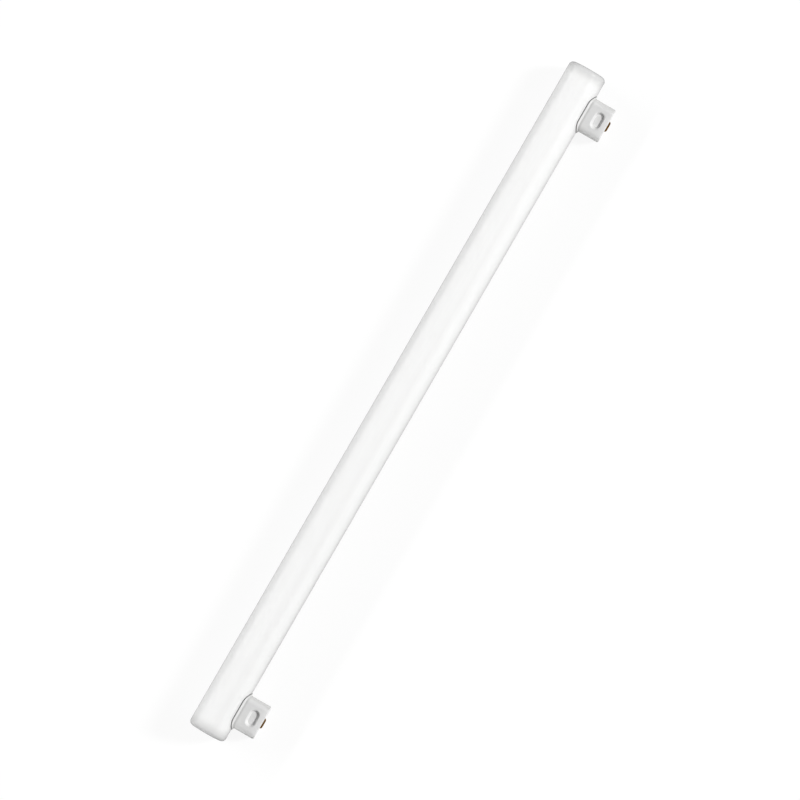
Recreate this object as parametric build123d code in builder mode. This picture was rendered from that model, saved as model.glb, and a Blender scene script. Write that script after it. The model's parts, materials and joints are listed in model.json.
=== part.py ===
"""Tubular lamp: a closed opal glass tube with a moulded cap near each end, lying on its side.

The tube runs along X. Both caps point to the front (-Y), tipped down so far that their lower edges touch
the surface under the tube. The origin is on that surface, under the middle of the lamp.
Lengths are in millimetres.
"""
import os
from math import asin, atan2, cos, hypot, sin

from build123d import *

# Glass tube
tube_length = 500.0
tube_diameter = 26.5
tube_end_radius = 3.0  # rounding between the flat ends and the wall

# Cap places, from each end of the tube to the middle of its cap
left_cap_inset = 23.7
right_cap_inset = 26.3

# Cap block, a hollow moulding: length along the tube and width across it
cap_height = 15.5  # from the glass to the outer face
cap_length = 24.0
cap_width = 13.5
cap_corner_radius = 4.2
cap_edge_chamfer = 0.6  # lead-in round the outer face
cap_side_wall = 3.0
cap_end_wall = 2.0

# Flange round the cap's foot, which follows the glass and thickens from its rim to the middle of the wall
flange_overhang = 1.35
flange_corner_radius = 7.0
flange_rim = 0.25
flange_root = 1.2

# Seal between the flange and the glass
seal_thickness = 0.3
seal_lip = 0.25  # how far it stands out past the flange's rim
seal_film = 0.03  # bond line on each side of the seal

# Latch recess in both sides of each cap, a slot with a flat floor and flared walls
latch_drop = 7.3  # from the outer face to the middle of the recess
latch_depth = 1.9
latch_margin = 1.8  # flat wall from each end of the mouth to the block's rounded corner
latch_floor_width = 3.8
latch_flare = 1.5  # how far each wall leans out on its way from floor to mouth
latch_mouth_chamfer = 0.25

# Brass contact, a strip bent like a staple, with its legs through slots in the cap's end wall
contact_length = 7.5
contact_width = 4.0
contact_thickness = 1.25
contact_bend_radius = 0.3  # inside the bend
contact_edge_chamfer = 0.15
contact_tail = 3.0  # how far the legs stand into the hollow
slot_clearance = 0.1

# Lead wire, from the glass to one leg of the contact
lead_diameter = 0.8
lead_film = 0.05  # solder at the leg, bond at the glass

# The recess fills the flat of the cap's side, less its margins
latch_floor_length = cap_length - 2 * (cap_corner_radius + latch_margin + latch_flare)

# Heights above the tube's axis, along the way that the caps point
tube_radius = tube_diameter / 2
seat_radius = tube_radius + seal_thickness
flange_radius = seat_radius + flange_root
face_height = tube_radius + cap_height
hollow_height = face_height - cap_end_wall
latch_height = face_height - latch_drop
leg_end_height = hollow_height - contact_tail
lead_end_height = hollow_height - lead_diameter

# The lamp rolls forward until the lower edges of its caps touch the surface: the tilt, in radians
edge_height = face_height - cap_edge_chamfer
edge_offset = cap_width / 2
rest_tilt = asin(tube_radius / hypot(edge_height, edge_offset)) - atan2(edge_offset, edge_height)

# The tube lies as far behind the origin as centres the lamp from its contacts to its back
cap_reach = face_height * cos(rest_tilt) + (cap_width / 2 - cap_edge_chamfer) * sin(rest_tilt)
contact_top = face_height + contact_thickness
contact_reach = contact_top * cos(rest_tilt) + (contact_width / 2 - contact_edge_chamfer) * sin(rest_tilt)
axis_back = (max(cap_reach, contact_reach) - tube_radius) / 2

along = Vector(1, 0, 0)
outward = Vector(0, -cos(rest_tilt), -sin(rest_tilt))
across = outward.cross(along)

cap_centres = {
    "left": left_cap_inset - tube_length / 2,
    "right": tube_length / 2 - right_cap_inset,
}


def on_axis(x):
    """A point on the tube's axis."""
    return Vector(x, axis_back, tube_radius)


def cross_plane(x):
    """Square to the tube."""
    return Plane(on_axis(x), x_dir=outward, z_dir=along)


def cap_plane(x, height=0.0):
    """Square to the way that the cap points, at a height above the tube's axis."""
    return Plane(on_axis(x) + outward * height, x_dir=along, z_dir=outward)


def side_plane(x, facing, offset=0.0, height=0.0):
    """Along the cap's side, facing across it: 1 is the upper side and -1 the lower one."""
    origin = on_axis(x) + outward * height + across * (facing * offset)
    return Plane(origin, x_dir=along, z_dir=across * facing)


def block_outline(inset=0.0, mode=Mode.ADD):
    """The block's rounded outline, moved inwards all round."""
    RectangleRounded(cap_length - 2 * inset, cap_width - 2 * inset, cap_corner_radius - inset, mode=mode)


def flange_outline(inset=0.0):
    """The flange's rounded outline, moved inwards all round."""
    overhang = flange_overhang - inset
    RectangleRounded(cap_length + 2 * overhang, cap_width + 2 * overhang, flange_corner_radius - inset)


def staple_strip(clearance=0.0):
    """The contact from the side: its bent strip, with the same room all round except under its back."""
    half_length = (contact_length - contact_thickness) / 2
    back = face_height + contact_thickness / 2 + clearance
    corners = [
        (-half_length, leg_end_height),
        (-half_length, back),
        (half_length, back),
        (half_length, leg_end_height),
    ]
    with BuildLine() as middle:
        FilletPolyline(*corners, radius=contact_bend_radius + contact_thickness / 2)
    trace(middle.line, line_width=contact_thickness + 2 * clearance)


def glass_tube():
    """Closed tube with flat ends, sealed and opal, so solid."""
    with BuildPart(cross_plane(0)) as tube:
        Cylinder(tube_radius, tube_length)
        fillet(tube.edges().filter_by(GeomType.CIRCLE), tube_end_radius)
    return tube.part


def moulded_cap(x):
    """Hollow block on a flange that follows the glass, with a latch recess in each side."""
    cap_axis = Axis(on_axis(x), outward)

    with BuildPart() as flange:
        with BuildSketch(cap_plane(x)):
            flange_outline()
        extrude(amount=flange_radius)
        with BuildSketch(cross_plane(x)):
            Circle(flange_radius)
        extrude(amount=cap_length, both=True, mode=Mode.INTERSECT)
        flange_top = flange.faces().sort_by(cap_axis)[-1]
        chamfer(
            flange_top.edges(),
            length=flange_overhang + cap_side_wall / 2,
            length2=flange_root - flange_rim,
            reference=flange_top,
        )

    with BuildPart() as cap:
        with BuildSketch(cap_plane(x, face_height)):
            block_outline()
        extrude(amount=-face_height)
        chamfer(cap.faces().sort_by(cap_axis)[-1].edges(), cap_edge_chamfer)

        # Latch recesses, cut while the block is still solid so that only their mouths are inner outlines
        for facing in (1, -1):
            for depth, lean in ((latch_depth, 0), (0, latch_flare)):
                with BuildSketch(side_plane(x, facing, cap_width / 2 - depth, latch_height)):
                    SlotOverall(latch_floor_length + 2 * lean, latch_floor_width + 2 * lean)
            loft(mode=Mode.SUBTRACT)
        mouths = [wire for face in cap.faces() for wire in face.inner_wires()]
        chamfer([edge for mouth in mouths for edge in mouth.edges()], latch_mouth_chamfer)

        add(flange.part)
        with BuildSketch(cross_plane(x)):
            Circle(seat_radius)
        extrude(amount=cap_length, both=True, mode=Mode.SUBTRACT)
        with BuildSketch(cap_plane(x)):
            block_outline(cap_side_wall)
        extrude(amount=hollow_height, mode=Mode.SUBTRACT)
        with BuildSketch(side_plane(x, -1)):
            staple_strip(slot_clearance)
        extrude(amount=contact_width / 2 + slot_clearance, both=True, mode=Mode.SUBTRACT)
    return cap.part


def cap_seal(x):
    """Curved gasket between the flange and the glass, open under the cap's hollow."""
    with BuildPart() as seal:
        with BuildSketch(cap_plane(x)):
            flange_outline(-seal_lip)
            block_outline(cap_side_wall, mode=Mode.SUBTRACT)
        extrude(amount=seat_radius)
        with BuildSketch(cross_plane(x)):
            Circle(seat_radius - seal_film)
            Circle(tube_radius + seal_film, mode=Mode.SUBTRACT)
        extrude(amount=cap_length, both=True, mode=Mode.INTERSECT)
    return seal.part


def brass_contact(x):
    """Staple whose back lies on the cap's outer face."""
    with BuildPart() as contact:
        with BuildSketch(side_plane(x, -1)):
            staple_strip()
        extrude(amount=contact_width / 2, both=True)
        cut_sides = contact.faces().filter_by(Axis(on_axis(x), across))
        chamfer(cut_sides.edges(), contact_edge_chamfer)
    return contact.part


def lead_wire(x):
    """Straight wire from the glass to the inside of the contact's right leg."""
    leg_inside = contact_length / 2 - contact_thickness
    glass_height = tube_radius + lead_film
    with BuildPart() as lead:
        with BuildSketch(cap_plane(x, glass_height)):
            with Locations((leg_inside - lead_film - lead_diameter / 2, 0)):
                Circle(lead_diameter / 2)
        extrude(amount=lead_end_height - glass_height)
    return lead.part


pieces = {"tube": glass_tube()}
for end, x in cap_centres.items():
    pieces[f"{end}_cap"] = moulded_cap(x)
    pieces[f"{end}_seal"] = cap_seal(x)
    pieces[f"{end}_contact"] = brass_contact(x)
    pieces[f"{end}_lead"] = lead_wire(x)

os.makedirs("parts", exist_ok=True)
for name, piece in pieces.items():
    piece.label = name
    export_step(piece, f"parts/{name}.step")
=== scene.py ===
"""Looks of the tubular lamp: opal glass, moulded side caps and brass contacts, on a plain pale floor.

Every length is in metres, in the lamp's own frame: +X along the tube, +Z up, the caps to the front (-Y).
"""
import json
from math import cos, pi, radians, sin

import bpy
from mathutils import Matrix, Vector


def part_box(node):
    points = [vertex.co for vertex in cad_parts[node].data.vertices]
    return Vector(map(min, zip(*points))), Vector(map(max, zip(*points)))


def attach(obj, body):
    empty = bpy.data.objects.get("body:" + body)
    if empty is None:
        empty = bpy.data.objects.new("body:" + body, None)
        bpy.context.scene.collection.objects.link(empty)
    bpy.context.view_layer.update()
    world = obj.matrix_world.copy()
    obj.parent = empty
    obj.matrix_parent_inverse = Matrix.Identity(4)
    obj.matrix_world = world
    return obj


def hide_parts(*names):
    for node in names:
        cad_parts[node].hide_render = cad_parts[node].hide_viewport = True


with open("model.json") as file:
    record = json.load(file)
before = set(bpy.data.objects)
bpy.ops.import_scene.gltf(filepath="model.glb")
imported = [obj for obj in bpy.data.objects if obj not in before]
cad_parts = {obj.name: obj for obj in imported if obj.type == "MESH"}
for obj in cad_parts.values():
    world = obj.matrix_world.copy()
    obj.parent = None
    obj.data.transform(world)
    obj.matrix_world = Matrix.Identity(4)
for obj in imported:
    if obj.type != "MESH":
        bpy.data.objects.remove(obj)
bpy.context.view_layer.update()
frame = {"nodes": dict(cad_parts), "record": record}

MM = 0.001

# Glass tube
TUBE_SIDES = 160  # flat faces round the wall
END_ROUNDING = 3.0 * MM  # between the wall and the flat ends
END_SEGMENTS = 14  # rows of faces in each rounding
END_RING = 3.5 * MM  # ring of faces inside each rounding
END_FLATNESS = 0.999  # how squarely a face has to look along the tube to be a flat end
SMOOTH_ANGLE = radians(30.0)  # faces that meet at less than this are shaded as one

# Painted shade greying the glass near each end, by the distance past it: where it begins, and would be full
END_PAINTED_SHADE = (-11.0 * MM, 2.0 * MM)

# Painted shade in the corner between each cap's block and its flange, by the distance from the tube's axis:
# where it begins, is darkest and ends
FOOT_SHADE_LINE = (14.0 * MM, 14.35 * MM, 15.9 * MM)

# Painted shade on the rounded corners of each cap's block, by the distance along the tube from the
# cap's middle: where it begins, and is full
CORNER_PAINTED_SHADE = (8.0 * MM, 11.5 * MM)

# Brown of the contacts' cut edges, partly painted shade, by how squarely a face looks across the strip:
# where it begins, and is full
CUT_EDGE_SHADE = (0.5, 0.9)

# Picture: the lamp leans this far from level, seen square to its caps' sides
PICTURE_LEAN = radians(60.0)
PICTURE_FIELD = 522.6 * MM  # what the picture shows from side to side, at the tube's axis
PICTURE_SHIFT = (1.63 * MM, 0.82 * MM)  # from the tube's middle to the picture's: right, up
LENS = 300.0  # focal length, in millimetres
SENSOR = 36.0  # width, in millimetres
SIGHT = 20.0  # how far the camera sees

# Studio: a soft box to the picture's right, a low strip light to its left and a small fill close to the
# floor, below the lamp's lower end. Level is the share of full white that a light alone gives a surface
# turned to it, lean is from the camera's line of sight, turn is from the picture's right towards its top,
# and size is round that line and along it.
LIGHT_DISTANCE = 12.0
SOFT_BOX = {"level": 1.13, "lean": radians(47.5), "turn": radians(7.0), "size": (2.4, 2.4)}
STRIP_LIGHT = {"level": 0.97, "lean": radians(76.0), "turn": radians(150.0), "size": (11.0, 0.9)}
LOW_FILL = {"level": 0.42, "lean": radians(87.8), "turn": radians(239.0), "size": (2.4, 0.3)}
AMBIENT_LEVEL = 0.13  # what the room alone gives, from all round

# Floor
FLOOR_SIZE = 40.0  # each way
FLOOR_GLOW = 0.90  # share of its white that isn't dimmed by shadow
FLOOR_FADE = (1.0, 4.0)  # how far from the lamp shadows begin to fade, and are gone
FLOOR_BOUNCE = 0.37  # share of the light on it that goes back to the lamp

# Sockets of a Mix node that mixes colours, by number because its other kinds of mix have the same names
MIX_SHARE, MIX_FIRST, MIX_SECOND = 0, 6, 7
MIX_RESULT = 2


def linear(hex_colour):
    """An sRGB hex colour as linear red, green, blue and alpha."""
    channels = [int(hex_colour[i:i + 2], 16) / 255 for i in (1, 3, 5)]
    return [c / 12.92 if c <= 0.04045 else ((c + 0.055) / 1.055) ** 2.4 for c in channels] + [1.0]


def add_node(tree, kind, settings=(), inputs=(), links=()):
    """Adds a node: its properties, its sockets' fixed values, and the output that feeds each linked one."""
    node = tree.nodes.new(kind)
    for name, value in dict(settings).items():
        setattr(node, name, value)
    for socket, value in dict(inputs).items():
        node.inputs[socket].default_value = value
    for socket, source in dict(links).items():
        tree.links.new(source, node.inputs[socket])
    return node


def new_material(name):
    """An empty material with its node tree and its output node."""
    material = bpy.data.materials.new(name)
    material.use_nodes = True
    material.node_tree.nodes.clear()
    return material, material.node_tree, add_node(material.node_tree, "ShaderNodeOutputMaterial")


def shade_steps(low, high):
    """A ramp's two colours, each with the number of its end."""
    return ((0, linear(low)), (1, linear(high)))


def opal_glass(half_length):
    """Opal glass, drawn into a tube: milky and even, with faint streaks along the draw, a soft gloss and
    painted shade near the ends.
    """
    material, tree, output = new_material("drawn opal glass")
    place = add_node(tree, "ShaderNodeTexCoord")
    # Draw lines about 1.5 mm apart that run on for some 150 mm
    length, spacing = 150 * MM, 1.5 * MM
    stretch = add_node(tree, "ShaderNodeMapping", inputs={"Scale": (1 / length, 1 / spacing, 1 / spacing)},
                       links={"Vector": place.outputs["Object"]})
    streaks = add_node(tree, "ShaderNodeTexNoise", inputs={"Scale": 1.0, "Detail": 3.0, "Roughness": 0.5},
                       links={"Vector": stretch.outputs["Vector"]})
    tint = add_node(tree, "ShaderNodeValToRGB", links={"Fac": streaks.outputs["Fac"]})
    for end, colour in shade_steps("#FAFAF9", "#FEFEFD"):
        tint.color_ramp.elements[end].color = colour
    # Painted shade: nothing white stands behind the glass near the ends, so they are painted greyer
    apart = add_node(tree, "ShaderNodeSeparateXYZ", links={"Vector": place.outputs["Object"]})
    reach = add_node(tree, "ShaderNodeMath", {"operation": "ABSOLUTE"}, links={0: apart.outputs["X"]})
    empty = add_node(tree, "ShaderNodeMapRange", {"interpolation_type": "SMOOTHSTEP"},
                     inputs={"From Min": half_length + END_PAINTED_SHADE[0], "From Max": half_length + END_PAINTED_SHADE[1]},
                     links={"Value": reach.outputs[0]})
    milk_and_end_shade = add_node(tree, "ShaderNodeMix", {"data_type": "RGBA"}, inputs={MIX_SECOND: linear("#CACACA")},
                    links={MIX_SHARE: empty.outputs["Result"], MIX_FIRST: tint.outputs["Color"]})
    gloss = add_node(tree, "ShaderNodeMapRange", inputs={"To Min": 0.40, "To Max": 0.50},
                     links={"Value": streaks.outputs["Fac"]})
    waves = add_node(tree, "ShaderNodeBump", inputs={"Strength": 0.3, "Distance": 0.01 * MM},
                     links={"Height": streaks.outputs["Fac"]})
    # The coat has next to no gloss of its own: its tint darkens the glass towards its outlines
    glass = add_node(
        tree, "ShaderNodeBsdfPrincipled",
        inputs={"IOR": 1.5, "Specular IOR Level": 0.3,
                "Subsurface Weight": 0.5, "Subsurface Radius": (1.0, 1.0, 1.0), "Subsurface Scale": 6 * MM,
                "Coat Weight": 1.0, "Coat Roughness": 0.4, "Coat IOR": 1.02, "Coat Tint": linear("#F1F1F1")},
        links={"Base Color": milk_and_end_shade.outputs[MIX_RESULT], "Roughness": gloss.outputs["Result"],
               "Normal": waves.outputs["Normal"]},
    )
    tree.links.new(glass.outputs["BSDF"], output.inputs["Surface"])
    return material


def foot_painted_shade(tree, place, middle):
    """How strong the painted shade is that draws a soft dark line round the foot of each cap's block."""
    centred = add_node(tree, "ShaderNodeMapping",
                       inputs={"Location": (0, -middle.y, -middle.z), "Scale": (0, 1, 1)},
                       links={"Vector": place.outputs["Object"]})
    distance = add_node(tree, "ShaderNodeVectorMath", {"operation": "LENGTH"},
                        links={0: centred.outputs["Vector"]})
    begin, thickest, end = FOOT_SHADE_LINE
    rise = add_node(tree, "ShaderNodeMapRange", {"interpolation_type": "SMOOTHSTEP"},
                    inputs={"From Min": begin, "From Max": thickest},
                    links={"Value": distance.outputs["Value"]})
    fall = add_node(tree, "ShaderNodeMapRange", {"interpolation_type": "SMOOTHSTEP"},
                    inputs={"From Min": thickest, "From Max": end, "To Min": 1.0, "To Max": 0.0},
                    links={"Value": distance.outputs["Value"]})
    foot_shade_share = add_node(tree, "ShaderNodeMath", {"operation": "MULTIPLY"},
                    links={0: rise.outputs["Result"], 1: fall.outputs["Result"]})
    return foot_shade_share.outputs[0]


def corner_painted_shade(tree, place):
    """How strong the painted shade is that greys each cap's block towards its ends."""
    left, right = (sum(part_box(cap), Vector()).x / 2 for cap in ("left_cap", "right_cap"))
    apart = add_node(tree, "ShaderNodeSeparateXYZ", links={"Vector": place.outputs["Object"]})
    # From halfway between the caps, the middles of both are equally far away
    centred = add_node(tree, "ShaderNodeMath", {"operation": "SUBTRACT"}, inputs={1: (left + right) / 2},
                       links={0: apart.outputs["X"]})
    out = add_node(tree, "ShaderNodeMath", {"operation": "ABSOLUTE"}, links={0: centred.outputs[0]})
    offset = add_node(tree, "ShaderNodeMath", {"operation": "SUBTRACT"}, inputs={1: (right - left) / 2},
                      links={0: out.outputs[0]})
    distance = add_node(tree, "ShaderNodeMath", {"operation": "ABSOLUTE"}, links={0: offset.outputs[0]})
    begin, full = CORNER_PAINTED_SHADE
    corner_shade = add_node(tree, "ShaderNodeMapRange", {"interpolation_type": "SMOOTHSTEP"},
                    inputs={"From Min": begin, "From Max": full}, links={"Value": distance.outputs[0]})
    return corner_shade.outputs["Result"]


def moulded_pbt(middle):
    """PBT, moulded in a spark-eroded tool: off-white and satin, with a fine even grain and some painted
    shade.
    """
    material, tree, output = new_material("moulded PBT")
    place = add_node(tree, "ShaderNodeTexCoord")
    # The real grain of about 0.1 mm is too fine to show, so it is drawn at 0.4 mm
    grain_size = 0.4 * MM
    grain = add_node(tree, "ShaderNodeTexNoise",
                     inputs={"Scale": 1 / grain_size, "Detail": 2.0, "Roughness": 0.6},
                     links={"Vector": place.outputs["Object"]})
    # Slow flow clouds of the melt, some 6 mm across
    cloud_size = 6 * MM
    clouds = add_node(tree, "ShaderNodeTexNoise", inputs={"Scale": 1 / cloud_size, "Detail": 2.0},
                      links={"Vector": place.outputs["Object"]})
    tint = add_node(tree, "ShaderNodeValToRGB", links={"Fac": clouds.outputs["Fac"]})
    for end, colour in shade_steps("#D7D7D7", "#DCDCDB"):
        tint.color_ramp.elements[end].color = colour
    # Painted shade: each block is greyer towards its ends, round its corners
    corner_shaded = add_node(tree, "ShaderNodeMix", {"data_type": "RGBA"}, inputs={MIX_SECOND: linear("#CBCBCA")},
                      links={MIX_SHARE: corner_painted_shade(tree, place), MIX_FIRST: tint.outputs["Color"]})
    # Painted shade: a soft dark line round the foot of each block, where it meets the flange
    foot_shaded = add_node(tree, "ShaderNodeMix", {"data_type": "RGBA"}, inputs={MIX_SECOND: linear("#BEBEBD")},
                     links={MIX_SHARE: foot_painted_shade(tree, place, middle),
                            MIX_FIRST: corner_shaded.outputs[MIX_RESULT]})
    gloss = add_node(tree, "ShaderNodeMapRange", inputs={"To Min": 0.42, "To Max": 0.58},
                     links={"Value": grain.outputs["Fac"]})
    pits = add_node(tree, "ShaderNodeBump", inputs={"Strength": 0.25, "Distance": 0.02 * MM},
                    links={"Height": grain.outputs["Fac"]})
    plastic = add_node(
        tree, "ShaderNodeBsdfPrincipled",
        inputs={"IOR": 1.55, "Subsurface Weight": 0.15, "Subsurface Radius": (1.0, 1.0, 1.0),
                "Subsurface Scale": 1 * MM},
        links={"Base Color": foot_shaded.outputs[MIX_RESULT], "Roughness": gloss.outputs["Result"],
               "Normal": pits.outputs["Normal"]},
    )
    tree.links.new(plastic.outputs["BSDF"], output.inputs["Surface"])
    return material


def rolled_brass(across):
    """Brass strip, rolled, sheared and dulled in air: dark gold with fine roll lines, and brown cut edges,
    partly painted shade.
    """
    material, tree, output = new_material("rolled brass")
    place = add_node(tree, "ShaderNodeTexCoord")
    # The real roll lines are a few hundredths of a millimetre apart, and are drawn at 0.25 mm to show
    length, spacing = 8 * MM, 0.25 * MM
    stretch = add_node(tree, "ShaderNodeMapping", inputs={"Scale": (1 / length, 1 / spacing, 1 / spacing)},
                       links={"Vector": place.outputs["Object"]})
    lines = add_node(tree, "ShaderNodeTexNoise", inputs={"Scale": 1.0, "Detail": 3.0, "Roughness": 0.6},
                     links={"Vector": stretch.outputs["Vector"]})
    # Tarnish in patches of about 2 mm
    patch_size = 2 * MM
    tarnish = add_node(tree, "ShaderNodeTexNoise", inputs={"Scale": 1 / patch_size, "Detail": 3.0},
                       links={"Vector": place.outputs["Object"]})
    faces = add_node(tree, "ShaderNodeValToRGB", links={"Fac": tarnish.outputs["Fac"]})
    for end, colour in shade_steps("#7E5C18", "#A27C32"):
        faces.color_ramp.elements[end].color = colour
    edges = add_node(tree, "ShaderNodeValToRGB", links={"Fac": tarnish.outputs["Fac"]})
    for end, colour in shade_steps("#472E00", "#6B4800"):
        edges.color_ramp.elements[end].color = colour
    # The cut edges are the sides that face across the strip, either way; their darker brown is partly painted
    # shade
    facing = add_node(tree, "ShaderNodeVectorMath", {"operation": "DOT_PRODUCT"}, inputs={1: across},
                      links={0: place.outputs["Normal"]})
    either = add_node(tree, "ShaderNodeMath", {"operation": "ABSOLUTE"}, links={0: facing.outputs["Value"]})
    edge_shade_share = add_node(tree, "ShaderNodeMapRange", inputs={"From Min": CUT_EDGE_SHADE[0], "From Max": CUT_EDGE_SHADE[1]},
                   links={"Value": either.outputs[0]})
    tint = add_node(tree, "ShaderNodeMix", {"data_type": "RGBA"},
                    links={MIX_SHARE: edge_shade_share.outputs["Result"], MIX_FIRST: faces.outputs["Color"],
                           MIX_SECOND: edges.outputs["Color"]})
    gloss = add_node(tree, "ShaderNodeMapRange", inputs={"To Min": 0.24, "To Max": 0.42},
                     links={"Value": lines.outputs["Fac"]})
    grooves = add_node(tree, "ShaderNodeBump", inputs={"Strength": 0.4, "Distance": 0.01 * MM},
                       links={"Height": lines.outputs["Fac"]})
    brass = add_node(
        tree, "ShaderNodeBsdfPrincipled", inputs={"Metallic": 1.0},
        links={"Base Color": tint.outputs[MIX_RESULT], "Roughness": gloss.outputs["Result"],
               "Normal": grooves.outputs["Normal"]},
    )
    tree.links.new(brass.outputs["BSDF"], output.inputs["Surface"])
    return material


def silicone_shade_line():
    """Silicone rubber, cast as a thin gasket: matt dark grey, partly painted shade, drawing a dark line under
    the flange.
    """
    material, tree, output = new_material("cast silicone shade line")
    place = add_node(tree, "ShaderNodeTexCoord")
    # Bloom on the rubber, in specks of about 0.8 mm
    speck_size = 0.8 * MM
    bloom = add_node(tree, "ShaderNodeTexNoise", inputs={"Scale": 1 / speck_size, "Detail": 3.0},
                     links={"Vector": place.outputs["Object"]})
    # Painted shade: the seal's dark grey stands in for the shadow line under the flange
    tint = add_node(tree, "ShaderNodeValToRGB", links={"Fac": bloom.outputs["Fac"]})
    for end, colour in shade_steps("#4A4A4A", "#565656"):
        tint.color_ramp.elements[end].color = colour
    rubber = add_node(tree, "ShaderNodeBsdfPrincipled", inputs={"IOR": 1.41, "Roughness": 0.75},
                      links={"Base Color": tint.outputs["Color"]})
    tree.links.new(rubber.outputs["BSDF"], output.inputs["Surface"])
    return material


def tinned_copper():
    """Copper wire, drawn and dip-tinned: silvery and a little mottled."""
    material, tree, output = new_material("tinned copper")
    place = add_node(tree, "ShaderNodeTexCoord")
    # Dip marks of about 0.5 mm
    mark_size = 0.5 * MM
    marks = add_node(tree, "ShaderNodeTexNoise", inputs={"Scale": 1 / mark_size, "Detail": 2.0},
                     links={"Vector": place.outputs["Object"]})
    tint = add_node(tree, "ShaderNodeValToRGB", links={"Fac": marks.outputs["Fac"]})
    for end, colour in shade_steps("#B4B1AA", "#CFCCC4"):
        tint.color_ramp.elements[end].color = colour
    gloss = add_node(tree, "ShaderNodeMapRange", inputs={"To Min": 0.28, "To Max": 0.45},
                     links={"Value": marks.outputs["Fac"]})
    tin = add_node(tree, "ShaderNodeBsdfPrincipled", inputs={"Metallic": 1.0},
                   links={"Base Color": tint.outputs["Color"], "Roughness": gloss.outputs["Result"]})
    tree.links.new(tin.outputs["BSDF"], output.inputs["Surface"])
    return material


def picture_rays(tree):
    """1 for rays that show the background, straight or in gloss and glass, and 0 for rays of light."""
    path = add_node(tree, "ShaderNodeLightPath")
    straight_or_gloss = add_node(tree, "ShaderNodeMath", {"operation": "MAXIMUM"},
                                 links={0: path.outputs["Is Camera Ray"], 1: path.outputs["Is Glossy Ray"]})
    shown = add_node(tree, "ShaderNodeMath", {"operation": "MAXIMUM"},
                     links={0: straight_or_gloss.outputs[0], 1: path.outputs["Is Transmission Ray"]})
    return shown.outputs[0]


def floor_paint():
    """Emulsion paint, rolled on matt: white to the eye, with a soft shadow, and dim in what it returns."""
    material, tree, output = new_material("matt emulsion paint")
    seen = picture_rays(tree)
    shade = add_node(tree, "ShaderNodeMapRange", inputs={"To Min": FLOOR_BOUNCE, "To Max": 1.0},
                     links={"Value": seen})
    paint = add_node(tree, "ShaderNodeBsdfDiffuse", links={"Color": shade.outputs["Result"]})
    glow = add_node(tree, "ShaderNodeEmission", inputs={"Color": linear("#FFFFFF"), "Strength": 1.0})
    # Away from the lamp the white is plain, so that the floor shows no edge
    place = add_node(tree, "ShaderNodeTexCoord")
    away = add_node(tree, "ShaderNodeVectorMath", {"operation": "LENGTH"},
                    links={0: place.outputs["Object"]})
    begin, gone = FLOOR_FADE
    plain = add_node(tree, "ShaderNodeMapRange",
                     inputs={"From Min": begin, "From Max": gone, "To Min": FLOOR_GLOW, "To Max": 1.0},
                     links={"Value": away.outputs["Value"]})
    share = add_node(tree, "ShaderNodeMath", {"operation": "MULTIPLY"},
                     links={0: seen, 1: plain.outputs["Result"]})
    mixed = add_node(tree, "ShaderNodeMixShader",
                     links={0: share.outputs[0], 1: paint.outputs["BSDF"], 2: glow.outputs["Emission"]})
    tree.links.new(mixed.outputs["Shader"], output.inputs["Surface"])
    return material


def select_end_faces(mesh):
    """Selects the tube's two flat ends and nothing else, in face mode so that the wall between stays out."""
    bpy.context.tool_settings.mesh_select_mode = (False, False, True)
    for part in (mesh.vertices, mesh.edges, mesh.polygons):
        part.foreach_set("select", [False] * len(part))
    for face in mesh.polygons:
        face.select = abs(face.normal.x) > END_FLATNESS


def glass_tube(material):
    """The closed tube: a drawn wall with flat ends, rounded over where they meet it."""
    low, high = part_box("tube")
    bpy.ops.object.select_all(action="DESELECT")
    bpy.ops.mesh.primitive_cylinder_add(
        vertices=TUBE_SIDES, radius=(high.z - low.z) / 2, depth=high.x - low.x, location=(low + high) / 2,
        rotation=(0, pi / 2, 0),
    )
    tube = bpy.context.object
    tube.name = tube.data.name = "opal_tube"
    bpy.ops.object.transform_apply(location=True, rotation=True, scale=True)

    select_end_faces(tube.data)
    bpy.ops.object.mode_set(mode="EDIT")
    bpy.ops.mesh.bevel(offset=END_ROUNDING, segments=END_SEGMENTS, profile=0.5, affect="EDGES")
    bpy.ops.object.mode_set(mode="OBJECT")

    select_end_faces(tube.data)
    bpy.ops.object.mode_set(mode="EDIT")
    bpy.ops.mesh.inset(thickness=END_RING, use_individual=True)
    bpy.ops.mesh.poke()
    bpy.ops.mesh.select_all(action="SELECT")
    bpy.ops.mesh.normals_make_consistent(inside=False)
    bpy.ops.object.mode_set(mode="OBJECT")
    bpy.ops.object.shade_smooth_by_angle(angle=SMOOTH_ANGLE)

    tube.data.materials.append(material)
    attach(tube, "root")
    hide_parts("tube")


def finish_cad_nodes(across, middle):
    """Gives the caps, contacts, seals and leads their materials."""
    finishes = {
        "cap": moulded_pbt(middle),
        "contact": rolled_brass(across),
        "seal": silicone_shade_line(),
        "lead": tinned_copper(),
    }
    for name, node in frame["nodes"].items():
        finish = finishes.get(name.split("_")[-1])
        if finish:
            for slot in node.material_slots:
                slot.material = finish


def picture_axes():
    """The picture's right, up and back, square to the caps' sides with the lamp leaning as it does there."""
    along = Vector((1, 0, 0))
    outward = Vector(frame["record"]["mounts"][0]["axis"]).normalized()
    right = along * cos(PICTURE_LEAN) + outward * sin(PICTURE_LEAN)
    up = along * sin(PICTURE_LEAN) - outward * cos(PICTURE_LEAN)
    return right, up, right.cross(up)


def turned(right, up, back):
    """The rotation whose own axes point right, up and back."""
    return Matrix((right, up, back)).transposed().to_quaternion()


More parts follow.
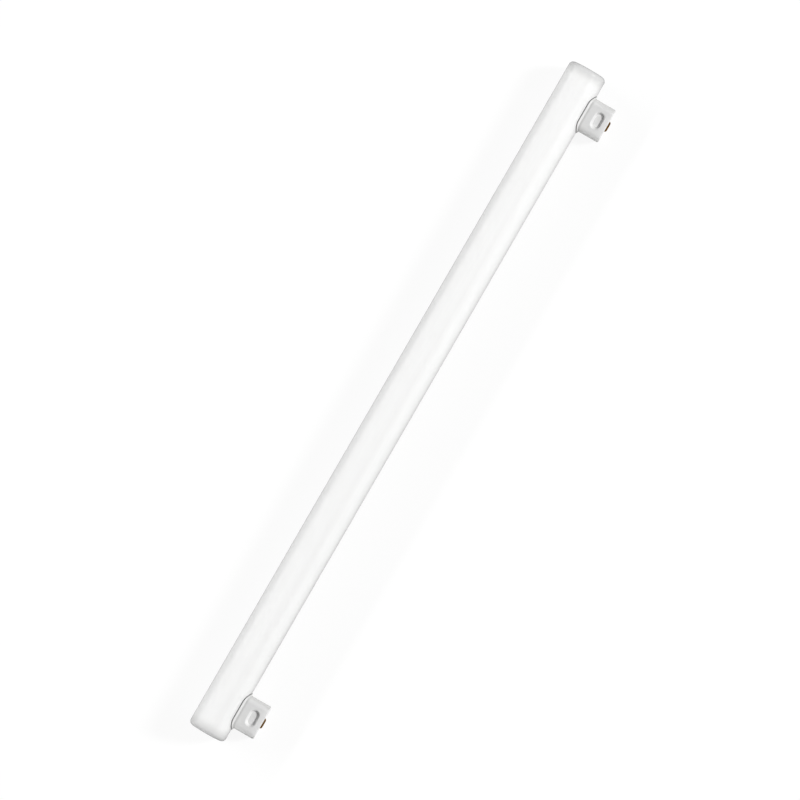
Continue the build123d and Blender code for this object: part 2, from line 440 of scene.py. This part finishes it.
def set_camera(axes, middle):
    """A long lens, square to the lamp, framed as in the picture."""
    right, up, back = axes
    lens = bpy.data.cameras.new("camera")
    lens.lens = LENS
    lens.sensor_width = SENSOR
    lens.clip_end = SIGHT
    camera = bpy.data.objects.new("camera", lens)
    aim = middle + right * PICTURE_SHIFT[0] + up * PICTURE_SHIFT[1]
    camera.location = aim + back * (PICTURE_FIELD * LENS / SENSOR)
    camera.rotation_mode = "QUATERNION"
    camera.rotation_quaternion = turned(right, up, back)
    bpy.context.scene.collection.objects.link(camera)
    bpy.context.scene.camera = camera


def add_light(name, axes, middle, level, lean, turn, size):
    """A soft panel that faces the lamp from beside the camera."""
    right, up, back = axes
    toward = (right * cos(turn) + up * sin(turn)) * sin(lean) + back * cos(lean)
    round_sight = back.cross(toward).normalized()
    panel = bpy.data.lights.new(name, "AREA")
    panel.shape = "RECTANGLE"
    panel.size, panel.size_y = size
    # Power at which a white surface that faces a small panel at this distance would show the level
    panel.energy = level * pi ** 2 * LIGHT_DISTANCE ** 2
    light = bpy.data.objects.new(name, panel)
    light.location = middle + toward * LIGHT_DISTANCE
    light.rotation_mode = "QUATERNION"
    light.rotation_quaternion = turned(round_sight, toward.cross(round_sight), toward)
    light.visible_camera = False
    bpy.context.scene.collection.objects.link(light)


def set_world():
    """An even room that lights the lamp a little from all round, and shows as white."""
    world = bpy.data.worlds.new("room")
    world.use_nodes = True
    tree = world.node_tree
    tree.nodes.clear()
    strength = add_node(tree, "ShaderNodeMapRange", inputs={"To Min": AMBIENT_LEVEL, "To Max": 1.0},
                        links={"Value": picture_rays(tree)})
    room = add_node(tree, "ShaderNodeBackground", inputs={"Color": linear("#FFFFFF")},
                    links={"Strength": strength.outputs["Result"]})
    add_node(tree, "ShaderNodeOutputWorld", links={"Surface": room.outputs["Background"]})
    bpy.context.scene.world = world


def add_floor():
    """The plain pale floor that the lamp lies on."""
    bpy.ops.object.select_all(action="DESELECT")
    bpy.ops.mesh.primitive_plane_add(size=FLOOR_SIZE)
    floor = bpy.context.object
    floor.name = floor.data.name = "floor"
    floor.data.materials.append(floor_paint())


tube_low, tube_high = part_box("tube")
tube_middle = (tube_low + tube_high) / 2
axes = picture_axes()
across_caps = axes[2]  # the way that the picture looks, which is across the contacts' strips too
glass_tube(opal_glass(tube_high.x))
finish_cad_nodes(across_caps, tube_middle)

set_camera(axes, tube_middle)
add_light("soft box", axes, tube_middle, **SOFT_BOX)
add_light("strip light", axes, tube_middle, **STRIP_LIGHT)
add_light("low fill", axes, tube_middle, **LOW_FILL)
set_world()
add_floor()
bpy.context.scene.view_settings.view_transform = "Standard"
